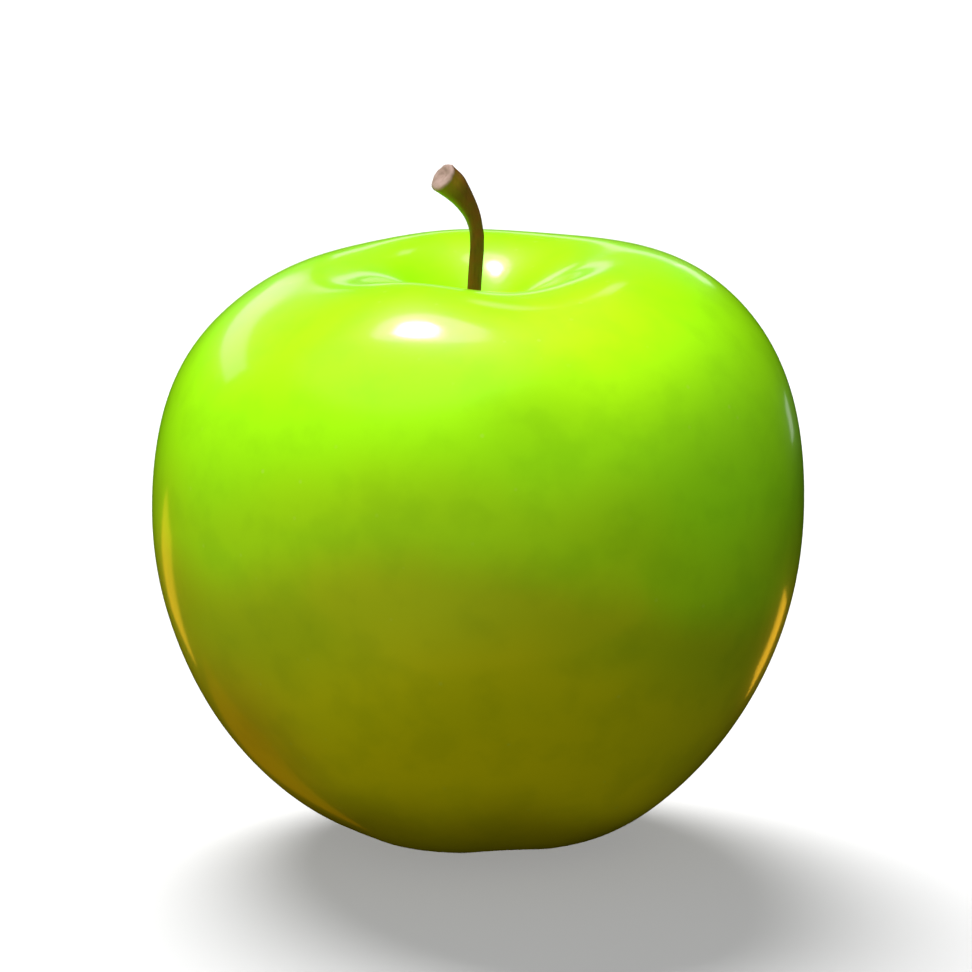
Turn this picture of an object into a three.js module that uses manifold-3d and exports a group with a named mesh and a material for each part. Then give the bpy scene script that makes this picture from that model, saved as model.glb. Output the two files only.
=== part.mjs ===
// A whole green apple, as picked: the fruit with its skin, the woody stalk, the five dried sepals of the
// calyx and the tuft of withered stamens inside them. Millimetres, +Z up, +X right, -Y towards the front.
// The fruit stands on z = 0, with the middle of its bounding box on the Z axis.
import * as THREE from "three";
import { LoftGeometry } from "three/addons/geometries/LoftGeometry.js";
import { mergeVertices } from "three/addons/utils/BufferGeometryUtils.js";
import Module from "manifold-3d";

// ---- Driving dimensions of the fruit ----
const FRUIT_DIAMETER = 78; // across the equator
const EQUATOR_HEIGHT = 40.5;
const SHOULDER_HEIGHT = 69; // mean height of the rim round the stalk cavity
const SHOULDER_RADIUS = 17; // radius of that rim
const FOOT_RADIUS = 11.2; // radius of the ring that the fruit stands on
const CAVITY_DEPTH = 9.5; // from the rim down to where the skin meets the stalk
const CAVITY_OFFSET = -0.8; // the bottom of the cavity lies this far along X from the middle of the rim
const BASIN_DEPTH = 6.4; // from the foot up to the mouth of the calyx tube
const CALYX_RADIUS = 3.2; // mouth of the calyx tube
const CALYX_TUBE_DEPTH = 3.2;
const BASIN_WALL = { outward: 0.4, rise: 0.55 }; // off the wall's middle in plan, and share of the depth
const REST_FLAT = { width: 2.4, depth: 0.15 }; // each foot's flattened spot, and how far it is pressed in

// Radius of curvature of the outline at the stalk's seat, just inside and just outside the rim, at the
// equator and at the foot.
const SEAT_ROUNDNESS = 10;
const CAVITY_MOUTH_ROUNDNESS = 12;
const SHOULDER_ROUNDNESS = 6.5;
const EQUATOR_ROUNDNESS = 54;
const FOOT_ROUNDNESS = 6.5;

// Which way the outline heads in degrees, 0 outward and 90 up, where it leaves the stalk, halfway up the
// basin and where it reaches the calyx.
const SEAT_HEADING = 60;
const BASIN_WALL_HEADING = 128;
const CALYX_HEADING = 165;

// Unevenness of the fruit. The rim is tilted and has three waves, which fade out at the back, the rim and
// the foot both lean a little along +X, and five soft ribs run down the lower flank to end in the five
// feet.
const RIM_TILT = { height: 1.1, towards: 70 };
const RIM_WAVES = { height: 0.65, crestAt: 0 };
const LEAN = { rim: 0.5, foot: 0.3 };
const RIBS = { count: 5, crestAt: -42, atRim: 0.2, onFlank: 0.6, atFoot: 0.4 };

// ---- Driving dimensions of the stalk ----
const STALK_DIAMETER = 1.65; // at its slender middle
const STALK_ROOT_DIAMETER = 2.4;
const STALK_HEAD_DIAMETER = 4; // the flared end that parted from the branch
const STALK_FLARES = { rootEnds: 0.25, headStarts: 0.62, headPower: 1.6 }; // shares of the stalk's length
const STALK_RISE = 20; // from the bottom of the cavity to the middle of the scar
const STALK_BEND_RISE = 12.9; // from the bottom of the cavity to the bend
const STALK_REACH = -3.35; // the middle of the scar lies this far along X from the root
const STALK_NOD = -0.7; // and this far along Y
const STALK_ROOT_DEPTH = 3; // how deep the stalk is rooted in the flesh
const SCAR_FACES = { tip: 53, towards: -148 }; // degrees from upright, and in plan
const SCAR_BULGE = 0.3;
const SCAR_RIM = 0.75; // the flat of the scar, as a share of the head

// ---- Driving dimensions of the calyx ----
const SEPAL_COUNT = 5;
const SEPAL_LENGTH = 6.5;
const SEPAL_THICKNESS = 0.5;
const SEPAL_ROOT_DEPTH = 0.6; // how far each sepal starts inside the calyx tube
const STAMEN_COUNT = 10;
const STAMEN_LENGTH = 4;
const STAMEN_DIAMETER = 0.45;

const CLEARANCE = 0.3; // between each grown-in piece and the flesh round it

// ---- Fineness of the facets ----
const FRUIT_COLUMNS = 60;
const STRETCH_ROWS = [10, 11, 14, 1, 5, 4]; // cavity, shoulder, flank, rest flat, basin wall and floor
const STALK_SIDES = 12;
const STALK_STEPS = 24;
const SEPAL_SIDES = 10;
const SEPAL_STEPS = 8;
const STAMEN_SIDES = 5;
const STAMEN_STEPS = 4;

const radians = THREE.MathUtils.degToRad;
const smooth = (value, low, high) => THREE.MathUtils.smoothstep(value, low, high);

// Sizes that several pieces share.
const seatHeight = SHOULDER_HEIGHT - CAVITY_DEPTH;
const socketRadius = STALK_ROOT_DIAMETER / 2 + CLEARANCE;
const sepalRingRadius = CALYX_RADIUS - CLEARANCE - SEPAL_THICKNESS / 2;
const sepalWidth = (2 * Math.PI * sepalRingRadius) / SEPAL_COUNT - CLEARANCE;
const cushionHeight = BASIN_DEPTH + CALYX_TUBE_DEPTH - CLEARANCE - STAMEN_DIAMETER;

const finishes = {
  skin: new THREE.MeshStandardMaterial({ color: 0x9be300, roughness: 0.25, metalness: 0 }),
  stalk: new THREE.MeshStandardMaterial({ color: 0x5a4312, roughness: 0.6, metalness: 0 }),
  calyx: new THREE.MeshStandardMaterial({ color: 0x6d5a2e, roughness: 0.8, metalness: 0 }),
  stamens: new THREE.MeshStandardMaterial({ color: 0x3b2a17, roughness: 0.9, metalness: 0 }),
};

// ---- Outline of the fruit ----

// A point that the outline passes through: its radius and height, the way the outline is heading there in
// degrees (0 outward, 90 up), and its radius of curvature, which is left out where the bend changes side.
// The curvature with which the outline arrives there may differ from the one with which it goes on.
function station(radius, height, heading, roundness = Infinity, arrivingRoundness = roundness) {
  const turn = radians(heading);
  return {
    at: new THREE.Vector2(radius, height),
    along: new THREE.Vector2(Math.cos(turn), Math.sin(turn)),
    roundness,
    arrivingRoundness,
  };
}

// A Bezier handle long enough to give the stated curvature at one end: a cubic's curvature there is two
// thirds of the other handle's distance from the tangent, over the square of this handle's length.
function handleLength(end, roundness, otherHandle, chord) {
  if (!Number.isFinite(roundness)) return chord / 3;
  const away = otherHandle.clone().sub(end.at);
  const distance = Math.abs(end.along.x * away.y - end.along.y * away.x);
  return Math.sqrt((2 / 3) * distance * roundness);
}

// The cubic between two stations, its two handle lengths found by letting them settle together.
function stretch(from, to) {
  const chord = from.at.distanceTo(to.at);
  let leaving = chord / 3;
  let arriving = chord / 3;
  const leavingHandle = () => from.at.clone().addScaledVector(from.along, leaving);
  const arrivingHandle = () => to.at.clone().addScaledVector(to.along, -arriving);
  for (let pass = 0; pass < 40; pass++) {
    leaving = (leaving + handleLength(from, from.roundness, arrivingHandle(), chord)) / 2;
    arriving = (arriving + handleLength(to, to.arrivingRoundness, leavingHandle(), chord)) / 2;
  }
  return new THREE.CubicBezierCurve(from.at, leavingHandle(), arrivingHandle(), to.at);
}

// Half of the fruit's cross-section, from the floor of the stalk's socket up the cavity wall, over the
// rim and the equator, under the foot and up through the basin into the calyx tube.
function fruitOutline() {
  const wallRadius = (FOOT_RADIUS + CALYX_RADIUS) / 2 + BASIN_WALL.outward;
  const stations = [
    station(socketRadius, seatHeight, SEAT_HEADING, SEAT_ROUNDNESS),
    station(SHOULDER_RADIUS, SHOULDER_HEIGHT, 0, SHOULDER_ROUNDNESS, CAVITY_MOUTH_ROUNDNESS),
    station(FRUIT_DIAMETER / 2, EQUATOR_HEIGHT, -90, EQUATOR_ROUNDNESS),
    station(FOOT_RADIUS + REST_FLAT.width / 2, 0, 180, FOOT_ROUNDNESS),
    station(FOOT_RADIUS - REST_FLAT.width / 2, 0, 180, FOOT_ROUNDNESS),
    station(wallRadius, BASIN_DEPTH * BASIN_WALL.rise, BASIN_WALL_HEADING),
    station(CALYX_RADIUS, BASIN_DEPTH, CALYX_HEADING),
  ];
  const socketFloor = seatHeight - STALK_ROOT_DEPTH;
  const outline = [
    new THREE.Vector2(0, socketFloor),
    new THREE.Vector2(socketRadius, socketFloor),
  ];
  STRETCH_ROWS.forEach((rows, i) => {
    outline.push(...stretch(stations[i], stations[i + 1]).getPoints(rows).slice(0, -1));
  });
  outline.push(new THREE.Vector2(CALYX_RADIUS, BASIN_DEPTH));
  outline.push(new THREE.Vector2(CALYX_RADIUS, BASIN_DEPTH + CALYX_TUBE_DEPTH));
  outline.push(new THREE.Vector2(0, BASIN_DEPTH + CALYX_TUBE_DEPTH));
  return outline;
}

// ---- The fruit's unevenness ----

// Where a point of the round outline goes on the grown fruit. The waves and ribs fade out towards the
// axis, so the stalk's socket and the calyx tube stay round, and towards the equator, which keeps its
// diameter.
function grown(radius, height, angle) {
  const above = Math.max(0, (height - EQUATOR_HEIGHT) / (SHOULDER_HEIGHT - EQUATOR_HEIGHT)) ** 2;
  const below = Math.max(0, (EQUATOR_HEIGHT - height) / EQUATOR_HEIGHT) ** 2;
  const outward = Math.min(1.6, radius / SHOULDER_RADIUS);
  const inward = Math.min(1, outward) ** 2;
  const offBasin = smooth(radius, CALYX_RADIUS, FOOT_RADIUS);
  const tilt = Math.cos(angle - radians(RIM_TILT.towards));
  const offBack = 1 - smooth(Math.sin(angle), 0, 1);
  const wave = Math.cos(3 * (angle - radians(RIM_WAVES.crestAt))) * offBack;
  const rib = Math.cos(RIBS.count * (angle - radians(RIBS.crestAt)));

  const rimLift =
    RIM_TILT.height * tilt * outward + (RIM_WAVES.height * wave + RIBS.atRim * rib) * inward;
  const footLift = Math.max(0, (RIBS.atFoot * (1 - rib)) / 2 - REST_FLAT.depth) * offBasin;
  const swell = 1 + (RIBS.onFlank * rib * below * offBasin) / (FRUIT_DIAMETER / 2);
  const cavityShift =
    height > EQUATOR_HEIGHT ? CAVITY_OFFSET * (1 - smooth(radius, socketRadius, SHOULDER_RADIUS)) : 0;
  return new THREE.Vector3(
    radius * swell * Math.cos(angle) + LEAN.rim * above + LEAN.foot * below + cavityShift,
    radius * swell * Math.sin(angle),
    height + rimLift * above + footLift * below,
  );
}

function fruitGeometry() {
  const sections = fruitOutline().map(({ x: radius, y: height }) =>
    Array.from({ length: FRUIT_COLUMNS }, (_, column) =>
      grown(radius, height, (-2 * Math.PI * column) / FRUIT_COLUMNS),
    ),
  );
  return new LoftGeometry(sections);
}

// ---- Stalk ----

function stalkCentreline() {
  const root = grown(0, seatHeight, 0);
  const from = (along, nod, up) => root.clone().add(new THREE.Vector3(along, nod, up));
  return new THREE.CubicBezierCurve3(
    root,
    from(0.1 * STALK_REACH, 0, STALK_BEND_RISE),
    from(-0.75 * STALK_REACH, 0, STALK_BEND_RISE),
    from(STALK_REACH, STALK_NOD, STALK_RISE),
  );
}

function stalkRadius(share) {
  const { rootEnds, headStarts, headPower } = STALK_FLARES;
  const towardsRoot = Math.max(0, 1 - share / rootEnds) ** 2;
  const towardsHead = Math.max(0, (share - headStarts) / (1 - headStarts)) ** headPower;
  const root = (STALK_ROOT_DIAMETER - STALK_DIAMETER) * towardsRoot;
  const head = (STALK_HEAD_DIAMETER - STALK_DIAMETER) * towardsHead;
  return (STALK_DIAMETER + root + head) / 2;
}

const scarNormal = new THREE.Vector3(
  Math.sin(radians(SCAR_FACES.tip)) * Math.cos(radians(SCAR_FACES.towards)),
  Math.sin(radians(SCAR_FACES.tip)) * Math.sin(radians(SCAR_FACES.towards)),
  Math.cos(radians(SCAR_FACES.tip)),
);

// A ring of points round the centreline. The rings are square to it along most of the stalk and swing
// into the plane of the scar over the head.
function stalkRing(centreline, share, scale = 1) {
  const centre = centreline.getPointAt(share);
  const tangent = centreline.getTangentAt(share);
  const across = new THREE.Vector3(0, 1, 0).cross(tangent).normalize();
  const deep = tangent.clone().cross(across);
  const slant = smooth(share, 0.75, 1) / tangent.dot(scarNormal);
  return Array.from({ length: STALK_SIDES }, (_, side) => {
    const angle = (2 * Math.PI * side) / STALK_SIDES;
    const spoke = across
      .clone()
      .multiplyScalar(Math.cos(angle))
      .addScaledVector(deep, Math.sin(angle))
      .multiplyScalar(stalkRadius(share) * scale);
    const alongStalk = -spoke.dot(scarNormal) * slant;
    return spoke.add(centre).addScaledVector(tangent, alongStalk);
  });
}

function stalkGeometry() {
  const centreline = stalkCentreline();
  const rooted = stalkRing(centreline, 0).map((point) =>
    point.setZ(seatHeight - STALK_ROOT_DEPTH + CLEARANCE),
  );
  const length = Array.from({ length: STALK_STEPS + 1 }, (_, step) =>
    stalkRing(centreline, step / STALK_STEPS),
  );
  const scar = stalkRing(centreline, 1, SCAR_RIM).map((point) =>
    point.addScaledVector(scarNormal, SCAR_BULGE),
  );
  return new LoftGeometry([rooted, ...length, scar], { capStart: true, capEnd: true });
}

// ---- Calyx ----

// Radius and height along the middle of a sepal, which starts inside the calyx tube, closes in over the
// stamens and curls out again at its tip.
function sepalCentreline() {
  const radius = sepalRingRadius;
  const height = BASIN_DEPTH + SEPAL_ROOT_DEPTH;
  return new THREE.CubicBezierCurve(
    new THREE.Vector2(radius, height),
    new THREE.Vector2(0.85 * radius, height - 0.36 * SEPAL_LENGTH),
    new THREE.Vector2(0.56 * radius, height - 0.8 * SEPAL_LENGTH),
    new THREE.Vector2(radius + 0.28 * SEPAL_LENGTH, height - 0.86 * SEPAL_LENGTH),
  );
}

// Each cross-section is bent round the calyx, so that the five sepals stand side by side in a ring.
function sepalGeometry() {
  const centreline = sepalCentreline();
  const sections = Array.from({ length: SEPAL_STEPS + 1 }, (_, step) => {
    const share = step / SEPAL_STEPS;
    const middle = centreline.getPoint(share);
    const tangent = centreline.getTangent(share);
    const halfWidth = (sepalWidth / 2) * (1 - 0.85 * share ** 1.4);
    const halfThickness = (SEPAL_THICKNESS / 2) * (1 - 0.4 * share);
    return Array.from({ length: SEPAL_SIDES }, (_, side) => {
      const turn = (2 * Math.PI * side) / SEPAL_SIDES;
      const outward = halfThickness * Math.sin(turn);
      const radius = middle.x - tangent.y * outward;
      const angle = (halfWidth * Math.cos(turn)) / Math.max(middle.x, sepalRingRadius);
      return new THREE.Vector3(
        radius * Math.cos(angle),
        radius * Math.sin(angle),
        middle.y + tangent.x * outward,
      );
    });
  });
  return new LoftGeometry(sections, { capStart: true, capEnd: true });
}

// One withered filament, from the cushion in the calyx tube down between the sepals.
function filamentGeometry(index) {
  const outer = index % 2 === 0;
  const radius = CALYX_RADIUS * (outer ? 0.34 : 0.15);
  const length = STAMEN_LENGTH * (outer ? 1 : 0.8);
  const top = cushionHeight + STAMEN_DIAMETER / 2;
  const centreline = new THREE.QuadraticBezierCurve3(
    new THREE.Vector3(radius, 0, top),
    new THREE.Vector3(radius, 0, top - length / 2),
    new THREE.Vector3(radius, outer ? 0.4 : -0.3, top - length),
  );
  const sections = Array.from({ length: STAMEN_STEPS + 1 }, (_, step) => {
    const share = step / STAMEN_STEPS;
    const middle = centreline.getPoint(share);
    const halfWidth = (STAMEN_DIAMETER / 2) * (1 - 0.35 * share);
    return Array.from({ length: STAMEN_SIDES }, (_, side) => {
      const turn = (-2 * Math.PI * side) / STAMEN_SIDES;
      return middle
        .clone()
        .add(new THREE.Vector3(halfWidth * Math.cos(turn), halfWidth * Math.sin(turn), 0));
    });
  });
  const filament = new LoftGeometry(sections, { capStart: true, capEnd: true });
  return filament.rotateZ((2 * Math.PI * index) / STAMEN_COUNT);
}

const wasm = await Module();
wasm.setup();

function solidOf(geometry) {
  const bare = new THREE.BufferGeometry();
  bare.setAttribute("position", geometry.getAttribute("position"));
  bare.setIndex(geometry.index);
  const merged = mergeVertices(bare);
  return new wasm.Manifold(
    new wasm.Mesh({
      numProp: 3,
      vertProperties: new Float32Array(merged.attributes.position.array),
      triVerts: new Uint32Array(merged.index.array),
    }),
  );
}

function geometryOf(solid) {
  const { numProp, vertProperties, triVerts } = solid.getMesh();
  const interleaved = new THREE.InterleavedBuffer(vertProperties, numProp);
  const geometry = new THREE.BufferGeometry();
  geometry.setAttribute("position", new THREE.InterleavedBufferAttribute(interleaved, 3, 0));
  geometry.setIndex(new THREE.BufferAttribute(triVerts, 1));
  const separate = geometry.toNonIndexed();
  separate.computeVertexNormals();
  return separate;
}

// The cushion at the top of the calyx tube, joined with its filaments into one solid.
function stamenGeometry() {
  const cushion = new THREE.CylinderGeometry(
    CALYX_RADIUS - CLEARANCE,
    CALYX_RADIUS - 2 * CLEARANCE,
    STAMEN_DIAMETER,
    16,
  );
  cushion.rotateX(Math.PI / 2);
  cushion.translate(0, 0, cushionHeight + STAMEN_DIAMETER / 2);
  let tuft = solidOf(cushion);
  for (let index = 0; index < STAMEN_COUNT; index++) {
    tuft = tuft.add(solidOf(filamentGeometry(index)));
  }
  return geometryOf(tuft);
}

// ---- Assembly ----

function piece(name, geometry, finish) {
  const mesh = new THREE.Mesh(geometry, finish);
  mesh.name = name;
  return mesh;
}

const calyx = new THREE.Group();
calyx.position.x = grown(0, BASIN_DEPTH, 0).x;
const sepalShape = sepalGeometry();
for (let index = 0; index < SEPAL_COUNT; index++) {
  const sepal = piece(`sepal_${index + 1}`, sepalShape, finishes.calyx);
  sepal.rotation.z = radians(RIBS.crestAt) + (2 * Math.PI * index) / SEPAL_COUNT;
  calyx.add(sepal);
}
calyx.add(piece("stamen_tuft", stamenGeometry(), finishes.stamens));

const fruit = piece("apple_body", fruitGeometry(), finishes.skin);
const grownTogether = new THREE.Group();
grownTogether.add(fruit, piece("stalk", stalkGeometry(), finishes.stalk), calyx);

// The uneven fruit is moved so that the middle of its bounding box stands over the origin.
const middle = new THREE.Box3().setFromObject(fruit).getCenter(new THREE.Vector3());
grownTogether.position.set(-middle.x, -middle.y, 0);

const apple = new THREE.Group();
apple.add(grownTogether);
export default apple;
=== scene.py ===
"""A whole green apple: the fruit in its waxed skin, a woody stalk and the dried calyx underneath.

Lengths are in millimetres until a mesh or a light is made, with +Z up and -Y towards the camera.
"""

import logging
import math
from collections.abc import Callable, Sequence
from dataclasses import dataclass, field
from enum import Enum

import bpy
import numpy as np
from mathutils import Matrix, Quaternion, Vector


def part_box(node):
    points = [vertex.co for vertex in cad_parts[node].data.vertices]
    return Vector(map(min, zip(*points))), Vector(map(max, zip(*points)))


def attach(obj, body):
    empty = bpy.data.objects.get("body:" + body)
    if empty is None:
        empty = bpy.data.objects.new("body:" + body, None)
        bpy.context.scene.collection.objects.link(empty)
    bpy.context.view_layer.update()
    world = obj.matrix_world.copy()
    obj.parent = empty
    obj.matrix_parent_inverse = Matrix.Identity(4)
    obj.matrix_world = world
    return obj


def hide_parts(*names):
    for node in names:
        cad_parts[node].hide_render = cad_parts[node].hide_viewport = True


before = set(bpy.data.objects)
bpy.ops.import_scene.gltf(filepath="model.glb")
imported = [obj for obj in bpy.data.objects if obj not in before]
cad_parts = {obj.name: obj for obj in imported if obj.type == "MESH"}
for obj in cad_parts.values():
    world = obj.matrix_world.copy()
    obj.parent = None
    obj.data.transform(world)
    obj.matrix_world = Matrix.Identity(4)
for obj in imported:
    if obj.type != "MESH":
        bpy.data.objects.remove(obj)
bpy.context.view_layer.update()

MM = 0.001
FULL_HEIGHT = 72.0
log = logging.getLogger("apple")

Array = np.ndarray
Colour = tuple[float, float, float]


# ---- Curves and grids ----


def smoothstep(value: Array | float, low: float, high: float) -> Array:
    """Eased step: 3t^2 - 2t^3, t being how far the value has come from low to high, held to 0 to 1."""
    t = np.clip((np.asarray(value, float) - low) / (high - low), 0.0, 1.0)
    return t * t * (3.0 - 2.0 * t)


def cubic(points: Array, t: Array) -> Array:
    """Points on a cubic Bezier curve.

    Formula: u^3 a + 3 u^2 t b + 3 u t^2 c + t^3 d, with u = 1 - t.

    Args:
        points: the four control points, one a row.
        t: where along the curve, from 0 to 1.

    Returns:
        One point a row.
    """
    t = t[:, None]
    u = 1.0 - t
    a, b, c, d = np.asarray(points, float)
    return u**3 * a + 3 * u**2 * t * b + 3 * u * t**2 * c + t**3 * d


def evenly(points: Array, count: int) -> Array:
    """The same polyline with its points moved to equal steps of length along it.

    Args:
        points: a dense polyline, one point a row.
        count: how many points to return.

    Returns:
        count points, the first and last as they were.
    """
    steps = np.linalg.norm(np.diff(points, axis=0), axis=1)
    length = np.concatenate([[0.0], np.cumsum(steps)])
    wanted = np.linspace(0.0, length[-1], count)
    return np.stack([np.interp(wanted, length, column) for column in points.T], axis=1)


def unit(vectors: Array) -> Array:
    """The same vectors, one a row, at length 1."""
    return vectors / np.linalg.norm(vectors, axis=1, keepdims=True)


def headings(points: Array) -> Array:
    """Unit vectors along a polyline, one at each of its points."""
    return unit(np.gradient(points, axis=0))


def whole_turn(steps: int) -> Array:
    """Angles once round in that many equal steps, starting at 0."""
    return 2 * math.pi * np.arange(steps) / steps


def polar(radius: Array | float, angle: Array | float, height: Array | float) -> Array:
    """Cartesian points for radii, angles and heights that broadcast together."""
    radius, angle, height = np.broadcast_arrays(radius, angle, height)
    return np.stack([radius * np.cos(angle), radius * np.sin(angle), height], axis=-1)


@dataclass(frozen=True)
class Ripple:
    """A wave over a surface: its height, its crests round it, how fast it turns along it, and its phase."""

    height: float
    crests: int
    turn: float
    phase: float = 0.0

    def over(self, around: Array, along: Array) -> Array:
        """Formula: the height times the cosine of crests x around + turn x along + phase."""
        return self.height * np.cos(self.crests * around + self.turn * along + self.phase)


@dataclass
class Grid:
    """A tube of points, rows along it and columns round it, closed by a fan at either end."""

    points: Array

    def vertices(self) -> Array:
        """The rows one after another, then the middle of the first row and the middle of the last."""
        ends = np.stack([self.points[0].mean(axis=0), self.points[-1].mean(axis=0)])
        return np.concatenate([self.points.reshape(-1, 3), ends])

    def faces(self) -> tuple[Array, Array]:
        """Corner numbers of the quads between rows, and of the triangles that close the two ends."""
        rows, columns = self.points.shape[:2]
        number = np.arange(rows * columns).reshape(rows, columns)
        after = np.roll(number, -1, axis=1)
        quads = np.stack([number[:-1], after[:-1], after[1:], number[1:]], axis=-1)
        first, last = np.full(columns, rows * columns), np.full(columns, rows * columns + 1)
        start = np.stack([after[0], number[0], first], axis=-1)
        end = np.stack([number[-1], after[-1], last], axis=-1)
        return quads.reshape(-1, 4), np.concatenate([start, end])

    def corner_uv(self) -> Array:
        """A UV for each face corner: once round is u from 0 to 1, and the first row to the last is v."""
        rows, columns = self.points.shape[:2]
        v, u = np.meshgrid(np.linspace(0, 1, rows), np.arange(columns) / columns, indexing="ij")
        step = 1.0 / columns
        quads = np.stack(
            [
                np.stack([u[:-1], v[:-1]], -1),
                np.stack([u[:-1] + step, v[:-1]], -1),
                np.stack([u[1:] + step, v[1:]], -1),
                np.stack([u[1:], v[1:]], -1),
            ],
            axis=2,
        ).reshape(-1, 2)
        low, high = u[0], u[0] + step
        half = (low + high) / 2
        start = np.stack([high, 0 * u[0], low, 0 * u[0], half, 0 * u[0]], -1)
        end = np.stack([low, 0 * u[0] + 1, high, 0 * u[0] + 1, half, 0 * u[0] + 1], -1)
        return np.concatenate([quads, start.reshape(-1, 2), end.reshape(-1, 2)])


def add_object(name: str, data: bpy.types.ID) -> bpy.types.Object:
    """A new object that shows this data, in the scene."""
    made = bpy.data.objects.new(name, data)
    bpy.context.scene.collection.objects.link(made)
    return made


def piece_from(name: str, grids: Sequence[Grid]) -> bpy.types.Object:
    """One smooth mesh object made of closed tubes.

    Args:
        name: the piece's name.
        grids: its tubes, in millimetres.

    Returns:
        The object, at the origin, with its place in its mesh and a UV map named "wrap".
    """
    vertices, loops, sizes, uvs = [], [], [], []
    offset = 0
    for grid in grids:
        points, (quads, triangles) = grid.vertices(), grid.faces()
        vertices.append(points)
        loops += [quads.ravel() + offset, triangles.ravel() + offset]
        sizes += [np.full(len(quads), 4), np.full(len(triangles), 3)]
        uvs.append(grid.corner_uv())
        offset += len(points)
    coordinates, corners = np.concatenate(vertices) * MM, np.concatenate(loops)
    size = np.concatenate(sizes)

    mesh = bpy.data.meshes.new(name)
    mesh.vertices.add(len(coordinates))
    mesh.vertices.foreach_set("co", coordinates.astype(np.float32).ravel())
    mesh.loops.add(len(corners))
    mesh.loops.foreach_set("vertex_index", corners.astype(np.int32))
    mesh.polygons.add(len(size))
    mesh.polygons.foreach_set("loop_start", np.concatenate([[0], np.cumsum(size)[:-1]]).astype(np.int32))
    mesh.polygons.foreach_set("use_smooth", np.ones(len(size), bool))
    mesh.uv_layers.new(name="wrap").data.foreach_set("uv", np.concatenate(uvs).astype(np.float32).ravel())
    mesh.update(calc_edges=True)
    mesh.validate()
    return add_object(name, mesh)


# ---- Shader expressions ----


def operator(operation: str, reflected: bool = False) -> Callable[["Signal", "Signal | float"], "Signal"]:
    """A method that adds a Math node of that operation.

    Args:
        operation: the node's operation.
        reflected: whether the Signal is the second value.

    Returns:
        The method.
    """

    def method(self: "Signal", other: "Signal | float") -> "Signal":
        """The two values put through the node."""
        return self.math(operation, other, self) if reflected else self.math(operation, self, other)

    return method


class Signal:
    """A shader socket that can stand in a Python expression. Each operation adds a Math node."""

    def __init__(self, tree: "NodeTree", socket: bpy.types.NodeSocket | None) -> None:
        """Keeps the socket and the tree that its nodes go into."""
        self.tree = tree
        self.socket = socket

    def math(self, operation: str, *values: "Signal | float") -> "Signal":
        """The Math node of that operation on these values."""
        return self.tree.add("ShaderNodeMath", {"operation": operation}, dict(enumerate(values)))

    __add__ = operator("ADD")
    __radd__ = operator("ADD", reflected=True)
    __sub__ = operator("SUBTRACT")
    __rsub__ = operator("SUBTRACT", reflected=True)
    __mul__ = operator("MULTIPLY")
    __rmul__ = operator("MULTIPLY", reflected=True)
    __truediv__ = operator("DIVIDE")
    __pow__ = operator("POWER")

    def step(self, low: float, high: float) -> "Signal":
        """Eased step of this value: 0 at low and 1 at high, which may be the smaller of the two."""
        return self.tree.add(
            "ShaderNodeMapRange",
            {"interpolation_type": "SMOOTHSTEP"},
            {"Value": self, "From Min": low, "From Max": high},
        )


class NodeTree:
    """A node tree under construction, with one method that makes any node."""

    def __init__(self, tree: bpy.types.NodeTree) -> None:
        """Takes over the tree and empties it."""
        self.tree = tree
        self.tree.nodes.clear()

    def add(
        self,
        kind: str,
        settings: dict[str, object] | None = None,
        inputs: dict[str | int, object] | None = None,
        output: str | int = 0,
    ) -> Signal:
        """Makes a node.

        Args:
            kind: the node's type, such as "ShaderNodeMath".
            settings: its properties, set first; "stops" are a ramp's places and colours.
            inputs: a value or a Signal for each socket, by name or number.
            output: which output to hand back.

        Returns:
            That output.
        """
        node = self.tree.nodes.new(kind)
        for key, value in (settings or {}).items():
            if key == "stops":
                self._set_stops(node.color_ramp, value)
            else:
                setattr(node, key, value)
        for key, value in (inputs or {}).items():
            socket = node.inputs[key]
            if isinstance(value, Signal):
                self.tree.links.new(value.socket, socket)
            else:
                socket.default_value = value
        return Signal(self, node.outputs[output] if node.outputs else None)

    @staticmethod
    def _set_stops(ramp: bpy.types.ColorRamp, stops: Sequence[tuple[float, Colour]]) -> None:
        """Gives a colour ramp these stops, eased from one to the next."""
        ramp.interpolation = "EASE"
        while len(ramp.elements) > 1:
            ramp.elements.remove(ramp.elements[-1])
        for i, (place, colour) in enumerate(stops):
            element = ramp.elements[0] if i == 0 else ramp.elements.new(place)
            element.position = place
            element.color = (*colour, 1.0)

    def mix(
        self,
        factor: Signal | float,
        first: Signal | Colour,
        second: Signal | Colour,
        blend: str = "MIX",
    ) -> Signal:
        """A colour that goes from first to the blend of the two as the factor goes from 0 to 1."""
        inputs = {0: factor, 6: rgba(first), 7: rgba(second)}
        return self.add("ShaderNodeMix", {"data_type": "RGBA", "blend_type": blend}, inputs, output=2)

    def vector(self, operation: str, inputs: dict[str | int, object], output: str = "Vector") -> Signal:
        """The Vector Math node of that operation."""
        return self.add("ShaderNodeVectorMath", {"operation": operation}, inputs, output)

    def parts(self, vector: Signal) -> list[Signal]:
        """The X, Y and Z of a vector."""
        return [self.add("ShaderNodeSeparateXYZ", None, {0: vector}, output=i) for i in range(3)]


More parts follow.
